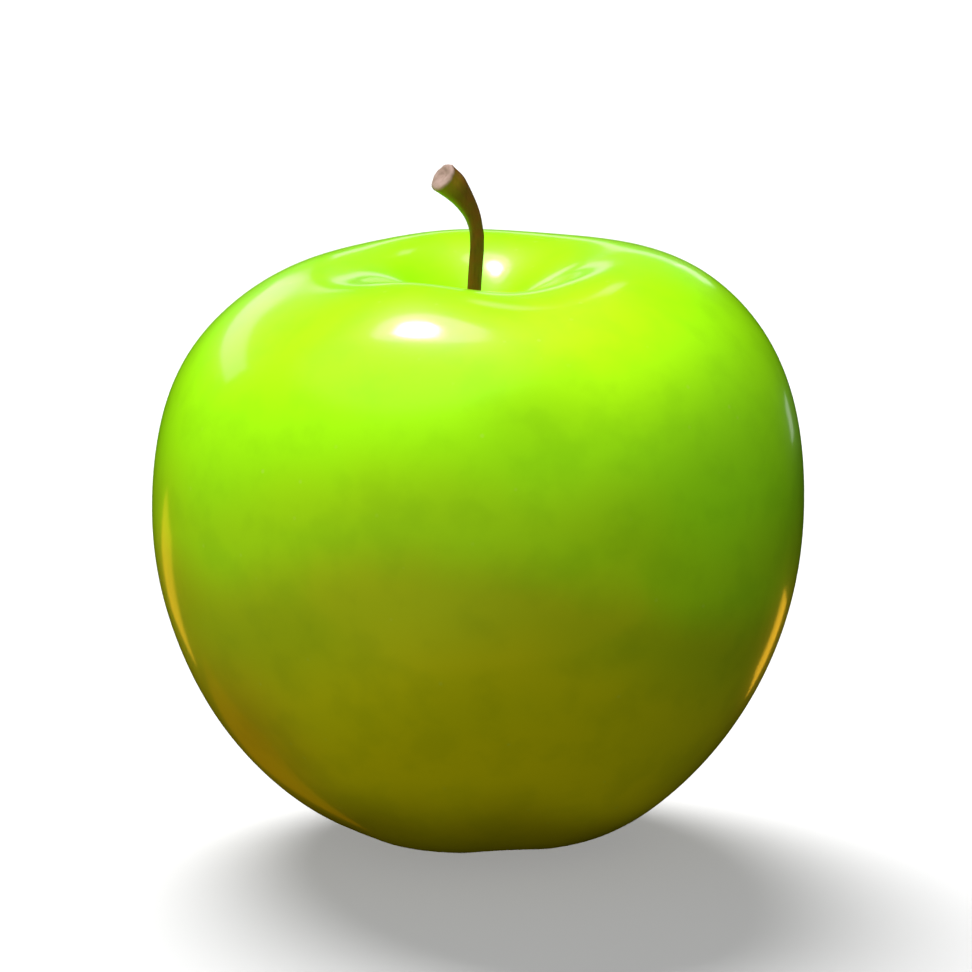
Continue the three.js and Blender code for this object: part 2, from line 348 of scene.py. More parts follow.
class Shader(NodeTree):
    """A material under construction."""

    def __init__(self, name: str) -> None:
        """Starts a material with an empty tree."""
        self.material = bpy.data.materials.new(name)
        self.material.use_nodes = True
        super().__init__(self.material.node_tree)

    def place(self) -> tuple[Signal, Signal, Signal, Signal]:
        """Object coordinates as a vector in millimetres, and its three parts."""
        here = self.add("ShaderNodeTexCoord", output="Object")
        scaled = self.vector("SCALE", {0: here, "Scale": 1 / MM})
        return scaled, *self.parts(scaled)

    def wrap(self) -> tuple[Signal, Signal]:
        """The piece's own UV map: the share of the way round, and the share of the way along."""
        round_it, along, _ = self.parts(self.add("ShaderNodeUVMap", {"uv_map": "wrap"}))
        return round_it, along

    def noise(self, vector: Signal, size: float, detail: float = 2.0, seed: float = 0.0) -> Signal:
        """Noise between 0 and 1 whose patches are about size across, in the vector's own unit."""
        inputs = {"Vector": vector, "W": seed, "Scale": 1 / size, "Detail": detail}
        return self.add("ShaderNodeTexNoise", {"noise_dimensions": "4D"}, inputs)

    def dots(self, vector: Signal, spacing: float) -> Signal:
        """Distance to the nearest of many scattered points about spacing apart, as a share of it."""
        inputs = {"Vector": vector, "Scale": 1 / spacing, "Randomness": 0.9}
        return self.add("ShaderNodeTexVoronoi", None, inputs, output="Distance")

    def near(self, vector: Signal, spot: Colour, reach: float) -> Signal:
        """A soft round patch: 1 at the spot and 0 from reach millimetres on."""
        return self.vector("DISTANCE", {0: vector, 1: spot}, "Value").step(reach, 0.0)

    def bump(self, height: Signal, depth: float, onto: Signal | None = None) -> Signal:
        """A normal for a relief of that depth in millimetres, on top of another bump's normal if given."""
        inputs = {"Height": height, "Strength": 1.0, "Distance": depth * MM}
        if onto is not None:
            inputs["Normal"] = onto
        return self.add("ShaderNodeBump", None, inputs)

    def finish(self, **sockets: object) -> bpy.types.Material:
        """Ends the material in a Principled surface.

        Args:
            sockets: values or Signals by socket name, with underscores for spaces.

        Returns:
            The finished material.
        """
        inputs = {key.replace("_", " "): value for key, value in sockets.items()}
        surface = self.add("ShaderNodeBsdfPrincipled", None, inputs)
        self.add("ShaderNodeOutputMaterial", None, {"Surface": surface})
        return self.material


def rgba(colour: Signal | Colour) -> Signal | tuple[float, float, float, float]:
    """A colour as a Mix node's socket takes it."""
    return colour if isinstance(colour, Signal) else (*colour, 1.0)


def srgb(red: int, green: int, blue: int) -> Colour:
    """A linear colour from the three 0 to 255 values of a colour picker.

    Formula: each share c becomes c / 12.92 up to 0.04045, and ((c + 0.055) / 1.055)^2.4 above it.
    """
    shares = np.array([red, green, blue]) / 255.0
    linear = np.where(shares <= 0.04045, shares / 12.92, ((shares + 0.055) / 1.055) ** 2.4)
    return tuple(float(c) for c in linear)


# ---- Finishes ----


@dataclass(frozen=True)
class Patch:
    """A soft round patch of another tone on the skin."""

    middle: tuple[float, float, float]
    reach: float
    strength: float
    colour: Colour


@dataclass(frozen=True)
class SkinFinish:
    """Waxed apple skin, lime on the shoulders and olive yellow towards the foot, with dots and russet. The
    olive yellow is partly the skin's own colour and partly painted warm light from below, and the very foot
    is darker with painted shade.
    """

    # Colours by height in millimetres: lime above and olive yellow below, partly the skin's own colour and
    # partly painted warm light from below; the darker lowest stop is painted shade at the foot.
    tones_and_painted_light: tuple[tuple[float, Colour], ...] = (
        (3.0, (0.44, 0.41, 0.0)),
        (13.0, (0.80, 0.78, 0.0)),
        (24.0, (0.68, 0.72, 0.0)),
        (35.0, (0.46, 0.62, 0.0)),
        (45.0, (0.42, 0.82, 0.0)),
        (56.0, (0.38, 0.94, 0.0)),
        (67.0, (0.39, 0.98, 0.0)),
    )
    patches: tuple[Patch, ...] = (
        Patch((12.0, -24.0, 66.0), 20.0, 0.5, (0.56, 0.95, 0.0)),
        Patch((6.0, -34.0, 57.0), 11.0, 0.4, (0.28, 0.64, 0.0)),
        Patch((30.0, -22.0, 50.0), 24.0, 0.3, (0.30, 0.82, 0.0)),
        # Orange low on the front left: partly a brownish blush, partly painted warm light and reflection
        # from low down.
        Patch((-27.0, -18.0, 15.0), 15.0, 0.45, (0.62, 0.36, 0.0)),
    )
    russet: Colour = (0.26, 0.17, 0.03)
    dot: Colour = (0.62, 0.86, 0.16)
    right_side_lift: float = 10.0
    left_side_lift: float = 5.0
    roughness: float = 0.34
    coat_roughness: float = 0.11

    def material(self, stalk_seat: tuple[float, float, float]) -> bpy.types.Material:
        """Builds the skin's material.

        Args:
            stalk_seat: where the stalk leaves the fruit, in millimetres, round which the skin is russeted.

        Returns:
            The material.
        """
        shader = Shader("apple_skin")
        here, side, _, height = shader.place()
        colour = self._tone(shader, here, side, height)
        mottle = shader.noise(here, 5.0, 3.0)
        darker = shader.vector("MULTIPLY", {0: colour, 1: (0.86, 0.90, 1.0)})
        colour = shader.mix(mottle.step(0.42, 0.68) * 0.6, colour, darker)
        dots = shader.dots(here, 3.4).step(0.10, 0.04) * shader.noise(here, 9.0).step(0.35, 0.6)
        colour = shader.mix(dots * 0.22, colour, self.dot)
        flecks = shader.noise(here, 0.9, 4.0)
        russet = shader.near(here, stalk_seat, 5.0) + shader.near(here, (0.0, 0.0, 5.0), 9.0)
        colour = shader.mix((russet * flecks.step(0.3, 0.65)).step(0.0, 1.0) * 0.7, colour, self.russet)
        relief = shader.noise(here, 1.1, 2.0) - 0.5 * dots
        return shader.finish(
            Base_Color=colour,
            Roughness=self.roughness + 0.3 * russet.step(0.0, 1.0),
            Specular_IOR_Level=0.25,
            Coat_Weight=0.7 - 0.5 * russet.step(0.2, 1.0),
            Coat_Roughness=self.coat_roughness,
            Normal=shader.bump(relief, 0.006),
        )

    def _tone(self, shader: Shader, here: Signal, side: Signal, height: Signal) -> Signal:
        """The skin's colour by height, with its patches and the light and shade painted into it.

        Formula: a ramp over the height, which a slow drift and a lift on both sides move up and down, and
        then the soft patches one over another. The ramp is partly painted light: its olive lower half
        stands in partly for warm light from below, and its darker lowest stop is painted shade at the foot.
        The last patch is partly a brownish blush and partly painted warm light and reflection low on the
        front left.
        """
        drift = shader.noise(here, 20.0, 2.0) * 10.0 - 5.0
        lift = side.step(2.0, 33.0) * self.right_side_lift + side.step(-10.0, -33.0) * self.left_side_lift
        # The ramp carries painted warm light in the olive lower half and painted shade at the foot.
        stops = [(tone_height / FULL_HEIGHT, colour) for tone_height, colour in self.tones_and_painted_light]
        place = (height + drift + lift) / FULL_HEIGHT
        colour = shader.add("ShaderNodeValToRGB", {"stops": stops}, {0: place})
        # The last patch paints warm light and reflection low on the front left, over a brownish blush.
        for patch in self.patches:
            ragged = shader.near(here, patch.middle, patch.reach) * patch.strength
            colour = shader.mix(ragged, colour, patch.colour)
        return colour


@dataclass(frozen=True)
class StalkFinish:
    """Woody stalk: olive-brown bark, green on the underside of the head, darker at its root with painted
    shade, and a pale scar whose upper part also carries a painted highlight.
    """

    bark: Colour = srgb(104, 72, 2)
    dark_bark_and_root_shade: Colour = srgb(74, 46, 2)
    # Dark bark for the fibre streaks, also used as painted shade at the root.
    red_bark: Colour = srgb(126, 60, 8)
    green_bark: Colour = srgb(128, 146, 14)
    yellow_bark: Colour = srgb(138, 116, 4)
    scar: Colour = srgb(172, 146, 134)
    scar_core: Colour = srgb(112, 88, 66)
    yellow_spot: tuple[float, float, float] = (-3.3, -1.6, 78.6)
    root_height: float = 59.5

    def material(self, scar_from: float) -> bpy.types.Material:
        """Builds the stalk's material.

        Args:
            scar_from: the share of the way along the piece's UV map at which the scar begins.

        Returns:
            The material.
        """
        shader = Shader("stalk_bark")
        here, side, _, height = shader.place()
        round_it, along = shader.wrap()
        fibres = shader.noise(shader.vector("MULTIPLY", {0: here, 1: (1.0, 1.0, 0.16)}), 0.32, 3.0)
        blotches = shader.noise(here, 1.8, 2.0, 3.0)
        colour = shader.mix(blotches.step(0.62, 0.35) * 0.55, self.bark, self.red_bark)
        colour = shader.mix(fibres.step(0.5, 0.8) * 0.7, colour, self.dark_bark_and_root_shade)
        # Painted shade: the stalk is darker over its lowest 3 mm, where it meets the fruit deep in the
        # cavity.
        painted_root_shade = height.step(self.root_height + 3.0, self.root_height)
        colour = shader.mix(painted_root_shade * 0.7, colour, self.dark_bark_and_root_shade)

        from_left = round_it - 0.5
        off_left = from_left.math("ABSOLUTE", from_left)
        under_head = off_left.step(0.2, 0.08) * along.step(0.5, 0.72)
        colour = shader.mix(under_head, colour, self.green_bark)
        colour = shader.mix(shader.near(here, self.yellow_spot, 2.2), colour, self.yellow_bark)

        scar = along.step(scar_from - 0.012, scar_from + 0.008)
        # The scar goes from yellow bark to its pale grey towards the top and the left: partly the scar's
        # own pale colour, partly a painted highlight on the side the light falls from.
        pale_scar_and_highlight = (height - side * 0.5).step(79.7, 80.9)
        scar_colour = shader.mix(blotches.step(0.4, 0.65) * 0.35, self.scar, self.scar_core)
        scar_colour = shader.mix(pale_scar_and_highlight, self.yellow_bark, scar_colour)
        colour = shader.mix(scar, colour, scar_colour)
        return shader.finish(
            Base_Color=colour,
            Roughness=0.5 + 0.25 * fibres,
            Specular_IOR_Level=0.3,
            Normal=shader.bump(fibres + 0.4 * blotches, 0.07),
        )


@dataclass(frozen=True)
class SepalFinish:
    """Dried sepal: papery grey brown, darker towards the tip, with pale down."""

    paper: Colour = srgb(126, 104, 66)
    tip: Colour = srgb(64, 44, 24)
    down: Colour = srgb(176, 164, 130)

    def material(self) -> bpy.types.Material:
        """Builds the sepals' material, whose streaks run along each sepal."""
        shader = Shader("dried_sepal")
        here, _, _, _ = shader.place()
        _, along = shader.wrap()
        streaks = shader.noise(shader.vector("MULTIPLY", {0: here, 1: (1.0, 1.0, 0.3)}), 0.35, 3.0)
        down = shader.noise(here, 0.12, 2.0, 5.0)
        colour = shader.mix(along.step(0.35, 1.0), self.paper, self.tip)
        colour = shader.mix(streaks.step(0.45, 0.75) * 0.6, colour, self.tip)
        colour = shader.mix(down.step(0.55, 0.8) * 0.5, colour, self.down)
        return shader.finish(
            Base_Color=colour,
            Roughness=0.8,
            Sheen_Weight=0.3,
            Normal=shader.bump(streaks + 0.5 * down, 0.08),
        )


@dataclass(frozen=True)
class StamenFinish:
    """Withered stamens: dark brown threads with paler dust."""

    thread: Colour = srgb(58, 38, 20)
    dust: Colour = srgb(120, 92, 52)

    def material(self) -> bpy.types.Material:
        """Builds the stamens' material."""
        shader = Shader("withered_stamen")
        here, _, _, _ = shader.place()
        specks = shader.noise(here, 0.15, 3.0)
        colour = shader.mix(specks.step(0.5, 0.75), self.thread, self.dust)
        return shader.finish(Base_Color=colour, Roughness=0.9, Normal=shader.bump(specks, 0.05))


# ---- The fruit ----


@dataclass(frozen=True)
class Station:
    """A point that the fruit's outline passes through.

    The heading is in degrees, 0 outward and 90 up, and the roundness is the outline's radius of curvature
    there, left out where its bend changes side. The one with which it arrives may differ.
    """

    radius: float
    height: float
    heading: float
    roundness: float = math.inf
    arriving_roundness: float | None = None

    @property
    def at(self) -> Array:
        """The point as radius and height."""
        return np.array([self.radius, self.height])

    @property
    def along(self) -> Array:
        """Unit vector of the heading."""
        turn = math.radians(self.heading)
        return np.array([math.cos(turn), math.sin(turn)])

    def handle(self, roundness: float, other_handle: Array, chord: float) -> float:
        """Bezier handle length that gives the roundness here.

        Formula: the root of 2/3 of the other handle's distance from the tangent, times the roundness.

        Args:
            roundness: the radius of curvature wanted at this end.
            other_handle: where the handle at the other end points to.
            chord: the distance between the two ends.

        Returns:
            The length, which is a third of the chord where the roundness is left out.
        """
        if math.isinf(roundness):
            return chord / 3
        away = other_handle - self.at
        distance = abs(self.along[0] * away[1] - self.along[1] * away[0])
        return math.sqrt(2 / 3 * distance * roundness)


def stretch(start: Station, end: Station, count: int) -> Array:
    """Evenly spaced points from one station to the next.

    Formula: a cubic Bezier curve whose two handle lengths are found by letting them settle together.
    """
    chord = float(np.linalg.norm(end.at - start.at))
    leaving = arriving = chord / 3
    at_end = end.roundness if end.arriving_roundness is None else end.arriving_roundness
    for _ in range(40):
        leaving = (leaving + start.handle(start.roundness, end.at - arriving * end.along, chord)) / 2
        arriving = (arriving + end.handle(at_end, start.at + leaving * start.along, chord)) / 2
    handles = [start.at, start.at + leaving * start.along, end.at - arriving * end.along, end.at]
    return evenly(cubic(np.array(handles), np.linspace(0, 1, 600)), count)


@dataclass
class Fruit:
    """The fruit: one skin from the stalk's socket over the rim and the equator and under to the calyx."""

    diameter: float = field(default_factory=lambda: node_width("apple_body"))
    equator_height: float = 40.5
    shoulder_height: float = 69.0
    shoulder_radius: float = 17.0
    foot_radius: float = 11.2
    cavity_depth: float = 9.5
    cavity_offset: float = -0.8
    basin_depth: float = 6.4
    calyx_radius: float = 3.2
    calyx_tube_depth: float = 3.2
    socket_radius: float = 1.14
    socket_depth: float = 3.0
    flat_width: float = 2.4
    flat_depth: float = 0.15
    seat_heading: float = 60.0
    basin_wall_heading: float = 128.0
    calyx_heading: float = 165.0
    basin_wall_outward: float = 0.4
    basin_wall_rise: float = 0.55
    seat_roundness: float = 10.0
    cavity_mouth_roundness: float = 12.0
    shoulder_roundness: float = 6.5
    equator_roundness: float = 54.0
    foot_roundness: float = 6.5
    rim_tilt: float = 1.1
    rim_tilt_towards: float = math.radians(70)
    rim_waves: float = 0.65
    rim_lean: float = 0.5
    foot_lean: float = 0.3
    rib_count: int = 5
    rib_crest: float = math.radians(-42)
    rib_at_rim: float = 0.2
    rib_on_flank: float = 0.6
    rib_at_foot: float = 0.4
    undulation: float = 0.09
    dimples: tuple[Ripple, ...] = (Ripple(1.0, 3, 0.11), Ripple(0.6, 8, -0.23, 1.0))
    end_radius: float = 0.05
    rows: tuple[int, ...] = (40, 60, 84, 6, 18, 14)
    columns: int = 320

    @property
    def seat_height(self) -> float:
        """Where the skin meets the stalk."""
        return self.shoulder_height - self.cavity_depth

    def _rim(self) -> Station:
        """The highest point of the outline, between the cavity and the shoulder."""
        inside, outside = self.cavity_mouth_roundness, self.shoulder_roundness
        return Station(self.shoulder_radius, self.shoulder_height, 0, outside, inside)

    def outline(self) -> Array:
        """Radius and height along half of the cross-section."""
        half_flat = self.flat_width / 2
        wall_radius = (self.foot_radius + self.calyx_radius) / 2 + self.basin_wall_outward
        stations = [
            Station(self.socket_radius, self.seat_height, self.seat_heading, self.seat_roundness),
            self._rim(),
            Station(self.diameter / 2, self.equator_height, -90, self.equator_roundness),
            Station(self.foot_radius + half_flat, 0, 180, self.foot_roundness),
            Station(self.foot_radius - half_flat, 0, 180, self.foot_roundness),
            Station(wall_radius, self.basin_depth * self.basin_wall_rise, self.basin_wall_heading),
            Station(self.calyx_radius, self.basin_depth, self.calyx_heading),
        ]
        runs = [stretch(a, b, n)[:-1] for a, b, n in zip(stations, stations[1:], self.rows)]
        floor = self.seat_height - self.socket_depth
        tube_top = self.basin_depth + self.calyx_tube_depth
        start = [[self.end_radius, floor], [self.socket_radius, floor]]
        tube = [[self.calyx_radius, self.basin_depth], [self.calyx_radius, tube_top]]
        end = [*tube, [self.end_radius, tube_top]]
        return np.concatenate([start, *runs, end])

    def grown(self, radius: Array, height: Array, angle: Array) -> Array:
        """Where a point of the round outline goes on the grown, uneven fruit.

        Formula: the rim is lifted by a tilt (one wave round), by three waves that fade out at the back and
        by five ribs. All of them fade with the square of the height above the equator. The foot is lifted
        between its five ribs and the lower flank swells along them, fading the same way below it.
        """
        rise = (height - self.equator_height) / (self.shoulder_height - self.equator_height)
        above = np.clip(rise, 0, None) ** 2
        below = np.clip((self.equator_height - height) / self.equator_height, 0, None) ** 2
        outward = np.clip(radius / self.shoulder_radius, 0, 1.6)
        inward = np.clip(outward, 0, 1) ** 2
        off_basin = smoothstep(radius, self.calyx_radius, self.foot_radius)
        tilt = np.cos(angle - self.rim_tilt_towards)
        wave = np.cos(3 * angle) * (1 - smoothstep(np.sin(angle), 0, 1))
        rib = np.cos(self.rib_count * (angle - self.rib_crest))

        rim_lift = self.rim_tilt * tilt * outward + (self.rim_waves * wave + self.rib_at_rim * rib) * inward
        foot_lift = np.clip(self.rib_at_foot * (1 - rib) / 2 - self.flat_depth, 0, None) * off_basin
        swell = 1 + self.rib_on_flank * rib * below * off_basin / (self.diameter / 2)
        in_cavity = np.where(height > self.equator_height, 1.0, 0.0)
        cavity_shift = in_cavity * (1 - smoothstep(radius, self.socket_radius, self.shoulder_radius))
        points = polar(radius * swell, angle, height + rim_lift * above + foot_lift * below)
        points[..., 0] += self.rim_lean * above + self.foot_lean * below + self.cavity_offset * cavity_shift
        return points

    def on_axis(self, height: float) -> Array:
        """Where the axis goes on the grown fruit at a height of the round outline."""
        return self.grown(np.zeros(1), np.full(1, height), np.zeros(1))[0]

    def skin(self) -> Grid:
        """The fruit's whole surface, columns clockwise from above so that its faces point outwards.

        Formula: the outline's radius swollen by two slow waves that spiral up the flank, then grown uneven.
        """
        outline = self.outline()
        radius, height = outline[:, :1], outline[:, 1:]
        angle = -whole_turn(self.columns)[None, :]
        flank = smoothstep(radius, self.shoulder_radius, 0.9 * self.diameter / 2)
        dimples = sum(ripple.over(angle, height) for ripple in self.dimples)
        swollen = radius * (1 + self.undulation * dimples * flank / (self.diameter / 2))
        return Grid(self.grown(swollen, height, angle))

    def build(self, finish: SkinFinish) -> bpy.types.Object:
        """Makes and dresses the fruit."""
        piece = piece_from("apple_skin", [self.skin()])
        seat = self.on_axis(self.seat_height)
        piece.data.materials.append(finish.material(tuple(float(part) for part in seat)))
        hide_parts("apple_body")
        return piece


def node_width(node: str) -> float:
    """Width of a CAD node along X, in millimetres."""
    low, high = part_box(node)
    return (high.x - low.x) / MM


# ---- The stalk ----


@dataclass(frozen=True)
class Knuckle:
    """A low swelling on one side of the stalk."""

    place: float
    length: float
    height: float
    side: float

    def over(self, share: Array, angle: Array) -> Array:
        """Formula: a bell curve along the stalk times the part of a cosine round it that is above 0."""
        bell = np.exp(-(((share - self.place) / self.length) ** 2))
        return self.height * bell * np.clip(np.cos(angle - self.side), 0, 1)


@dataclass
class Stalk:
    """The woody stalk, from its root in the cavity up to the slanted scar where it left the branch."""

    fruit: Fruit
    diameter: float = 1.65
    root_diameter: float = 2.4
    head_diameter: float = 4.0
    root_ends: float = 0.25
    head_starts: float = 0.62
    head_power: float = 1.6
    rise: float = 20.0
    bend_rise: float = 12.9
    reach: float = -3.35
    nod: float = -0.7
    buried: float = 0.8
    scar_tip: float = math.radians(53)
    scar_towards: float = math.radians(-148)
    ridges: tuple[Ripple, ...] = (Ripple(0.020, 7, 1.0), Ripple(0.012, 12, -2.1, 0.7))
    crinkle_height: float = 0.008
    knuckles: tuple[Knuckle, ...] = (Knuckle(0.42, 0.022, 0.05, 2.2), Knuckle(0.60, 0.02, 0.06, -0.6))
    lip: float = 0.10
    rounding: float = 0.30
    scar_rim: float = 0.26
    scar_dish: float = 0.2
    scar_grain: float = 0.05
    scar_rows: int = 14
    rows: int = 220
    columns: int = 72

    def centreline(self) -> tuple[Array, Array]:
        """Points along the middle and unit tangents there.

        Formula: a cubic Bezier curve from the seat, straight up, then over towards the reach and the nod,
        resampled at equal steps of length.
        """
        root = self.fruit.on_axis(self.fruit.seat_height)
        ahead = np.array(
            [
                [0, 0, 0],
                [0.1 * self.reach, 0, self.bend_rise],
                [-0.75 * self.reach, 0, self.bend_rise],
                [self.reach, self.nod, self.rise],
            ]
        )
        points = evenly(cubic(root + ahead, np.linspace(0, 1, 800)), self.rows)
        return points, headings(points)

    def radius(self, share: Array, angle: Array) -> Array:
        """Radius along the stalk and round it.

        Formula: half of the diameter, plus the widening to the root (square of the way down to it) and to
        the head (a power of the way up to it). It is varied by shallow bark ridges, which are waves round
        the stalk that wander a little along it, by crinkles along it and by knuckles. The head has a lip on
        its lower side and is rounded off on its upper side.
        """
        down = np.clip(1 - share / self.root_ends, 0, None) ** 2
        up = np.clip((share - self.head_starts) / (1 - self.head_starts), 0, None)
        body = self.diameter + (self.root_diameter - self.diameter) * down
        body = body + (self.head_diameter - self.diameter) * up**self.head_power
        wander = 1.3 * np.sin(5.1 * share) + 0.5 * np.sin(17.0 * share + 1.0)
        ridges = sum(ripple.over(angle, wander) for ripple in self.ridges)
        crinkles = self.crinkle_height * np.sin(61 * share + 2.0 * np.cos(angle)) * (1 - up)
        knuckles = sum(knuckle.over(share, angle) for knuckle in self.knuckles)
        lip = self.lip * np.clip(up, 0, 1) ** 3 * np.clip(np.cos(angle - math.pi), 0, 1)
        rounded = self.rounding * smoothstep(share, 0.86, 1) ** 2 * (1 + np.cos(angle)) / 2
        return body / 2 * (1 + ridges + crinkles + knuckles + lip - rounded)

    def surface(self) -> Grid:
        """The stalk's whole surface.

        Formula: rings square to the centreline, which swing into the plane of the scar over the head. Below
        is one ring buried in the flesh. On top are rings that shrink to the middle of the scar, which is
        rounded at its rim, dished inside it and a little uneven.
        """
        points, tangents = self.centreline()
        normal = np.array(
            [
                math.sin(self.scar_tip) * math.cos(self.scar_towards),
                math.sin(self.scar_tip) * math.sin(self.scar_towards),
                math.cos(self.scar_tip),
            ]
        )
        across = unit(np.cross([0.0, 1.0, 0.0], tangents))
        deep = np.cross(tangents, across)
        share = np.linspace(0, 1, self.rows)[:, None]
        angle = whole_turn(self.columns)[None, :]
        radius = self.radius(share, angle)[..., None]
        spokes = radius * (
            np.cos(angle)[..., None] * across[:, None] + np.sin(angle)[..., None] * deep[:, None]
        )
        slant = smoothstep(share, 0.75, 1) / (tangents @ normal)[:, None]
        spokes = spokes - ((spokes @ normal) * slant)[..., None] * tangents[:, None]
        rings = points[:, None] + spokes
        buried = rings[:1] - np.array([0.0, 0.0, self.buried])

        inwards = np.linspace(0, 1, self.scar_rows + 1)[1:-1, None]
        quarter_round = np.sqrt(np.clip(1 - (1 - np.clip(inwards / 0.3, 0, 1)) ** 2, 0, 1))
        dish = smoothstep(inwards, 0.3, 0.9)
        grain = np.sin(5 * angle + 9 * inwards) * smoothstep(inwards, 0.15, 0.4) * (1 - inwards)
        relief = quarter_round * self.scar_rim - self.scar_dish * dish + self.scar_grain * grain
        lift = relief[..., None] * normal
        scar = points[-1] + spokes[-1:] * (1 - inwards)[..., None] + lift
        return Grid(np.concatenate([buried, rings, scar]))

    @property
    def scar_from(self) -> float:
        """Share of the way along the stalk's own UV map at which the scar begins."""
        return self.rows / (self.rows + self.scar_rows - 1)

    def build(self) -> bpy.types.Object:
        """Makes and dresses the stalk."""
        piece = piece_from("woody_stalk", [self.surface()])
        piece.data.materials.append(StalkFinish().material(self.scar_from))
        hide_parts("stalk")
        return piece


# ---- The calyx ----


@dataclass
class Sepal:
    """One dried sepal: a thin pointed leaf that starts in the calyx tube and curls out at its tip."""

    number: int
    middle: Array
    azimuth: float
    ring_radius: float
    root_height: float
    width: float
    length: float = 6.5
    thickness: float = 0.42
    midrib: float = 0.12
    cupping: float = 0.3
    rows: int = 72
    columns: int = 40

    def surface(self, chance: np.random.Generator) -> Grid:
        """The sepal's surface.

        Formula: along it, a cubic Bezier curve in radius and height; across it, a flat lens bent round the
        calyx, whose half width shrinks with a power of the way along. A midrib, a cupping that grows
        towards the edges, and two crinkle waves lift both faces together. The tip leans sideways with the
        square of the way along.
        """
        radius, height, length = self.ring_radius, self.root_height, self.length * chance.uniform(0.88, 1.0)
        curl = 0.28 * length * chance.uniform(0.75, 1.1)
        control = [
            [radius, height],
            [0.85 * radius, height - 0.36 * length],
            [0.56 * radius, height - 0.8 * length],
            [radius + curl, height - 0.86 * length],
        ]
        line = evenly(cubic(np.array(control), np.linspace(0, 1, 400)), self.rows)
        along = headings(line)
        share = np.linspace(0, 1, self.rows)[:, None]
        turn = whole_turn(self.columns)[None, :]
        side = np.cos(turn)
        ragged = 1 + 0.06 * np.sin(23 * share + chance.uniform(0, 6)) + 0.04 * np.sin(41 * share + side)
        half_width = self.width / 2 * (1 - 0.95 * share**1.5) * ragged
        half_thickness = self.thickness / 2 * (1 - 0.75 * share)
        phase = chance.uniform(0, 2 * math.pi, 2)
        crinkle = 0.05 * np.sin(9 * share + 3 * side + phase[0])
        crinkle = crinkle + 0.03 * np.sin(21 * share - 4 * side + phase[1])
        midrib = self.midrib * np.exp(-((side / 0.18) ** 2))
        cupping = self.cupping * side**2 * share
        shape = midrib - cupping + crinkle * smoothstep(share, 0.1, 0.5)
        outward = half_thickness * np.sin(turn) + shape
        reach = line[:, :1] - along[:, 1:] * outward
        sideways = chance.uniform(-0.35, 0.35) * share**2
        angle = half_width * side / np.maximum(line[:, :1], self.ring_radius) + sideways + self.azimuth
        points = polar(reach, angle, line[:, 1:] + along[:, :1] * outward)
        return Grid(points + self.middle)

    def build(self, finish: SepalFinish, chance: np.random.Generator) -> bpy.types.Object:
        """Makes and dresses the sepal."""
        piece = piece_from(f"dried_sepal_{self.number}", [self.surface(chance)])
        piece.data.materials.append(finish.material())
        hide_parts(f"sepal_{self.number}")
        return piece


@dataclass
class Stamens:
    """The withered stamens and styles: a tuft of bent threads on a cushion at the top of the calyx tube."""

    middle: Array
    cushion_radius: float
    cushion_height: float
    cushion_thickness: float = 0.45
    dome_height: float = 0.25
    pucker_depth: float = 0.06
    reach: float = 4.0
    thread_diameter: float = 0.34
    inner_threads: int = 5
    outer_threads: int = 15
    rows: int = 26
    columns: int = 12
    cushion_rows: int = 24
    cushion_columns: int = 60
    inner_ring: float = 0.2
    outer_ring: float = 0.5

    def cushion(self) -> Grid:
        """The cushion: a low dome that faces down, with a puckered surface.

        Formula: rings that shrink evenly from its rim, lowered by the dome's height times the cosine of
        their share of the radius, with shallow puckers round it.
        """
        top, bottom = self.cushion_height + self.cushion_thickness, self.cushion_height
        share = np.linspace(0.02, 1, self.cushion_rows)[:, None]
        angle = whole_turn(self.cushion_columns)[None, :]
        radius = self.cushion_radius * share * np.ones_like(angle)
        puckers = np.cos(7 * angle) * share * (1 - share)
        lowest = bottom - self.dome_height * np.cos(share * math.pi / 2) + self.pucker_depth * puckers
        under = polar(radius, angle, lowest)
        over = polar(radius[::-1], angle, np.full_like(radius, top))
        return Grid(np.concatenate([under, over]) + self.middle)

    def thread(self, radius: float, azimuth: float, chance: np.random.Generator) -> Grid:
        """One withered thread with the dried knob of its anther.

        Formula: a cubic Bezier curve down from the cushion that strays at random, and round it a circle
        whose radius tapers and swells again to the knob, a bell curve near the end.
        """
        start = polar(radius, azimuth, self.cushion_height + 0.1)
        drop = self.reach * chance.uniform(0.65, 0.95)
        stray = chance.normal(0, [0.25, 0.25, 0.0], (3, 3)) * np.array([[0.4], [1.0], [1.5]])
        steps = np.array([[0, 0, -0.35], [0, 0, -0.7], [0, 0, -1.0]]) * drop + stray
        line = evenly(cubic(np.vstack([start, start + steps]), np.linspace(0, 1, 200)), self.rows)
        along = headings(line)
        across = unit(np.cross(along, [0.0, 1.0, 0.0]))
        deep = np.cross(along, across)
        share = np.linspace(0, 1, self.rows)
        knob = 0.9 * np.exp(-(((share - 0.93) / 0.06) ** 2))
        thick = self.thread_diameter / 2 * (1 - 0.5 * share + knob)
        turn = whole_turn(self.columns)
        spokes = np.cos(turn)[:, None] * across[:, None] + np.sin(turn)[:, None] * deep[:, None]
        return Grid(line[:, None] + thick[:, None, None] * spokes + self.middle)

    def build(self, finish: StamenFinish, chance: np.random.Generator) -> bpy.types.Object:
        """Makes and dresses the tuft."""
        grids = [self.cushion()]
        for count, radius in ((self.inner_threads, self.inner_ring), (self.outer_threads, self.outer_ring)):
            for azimuth in whole_turn(count):
                grids.append(self.thread(radius * self.cushion_radius, azimuth, chance))
        piece = piece_from("withered_stamens", grids)
        piece.data.materials.append(finish.material())
        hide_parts("stamen_tuft")
        return piece


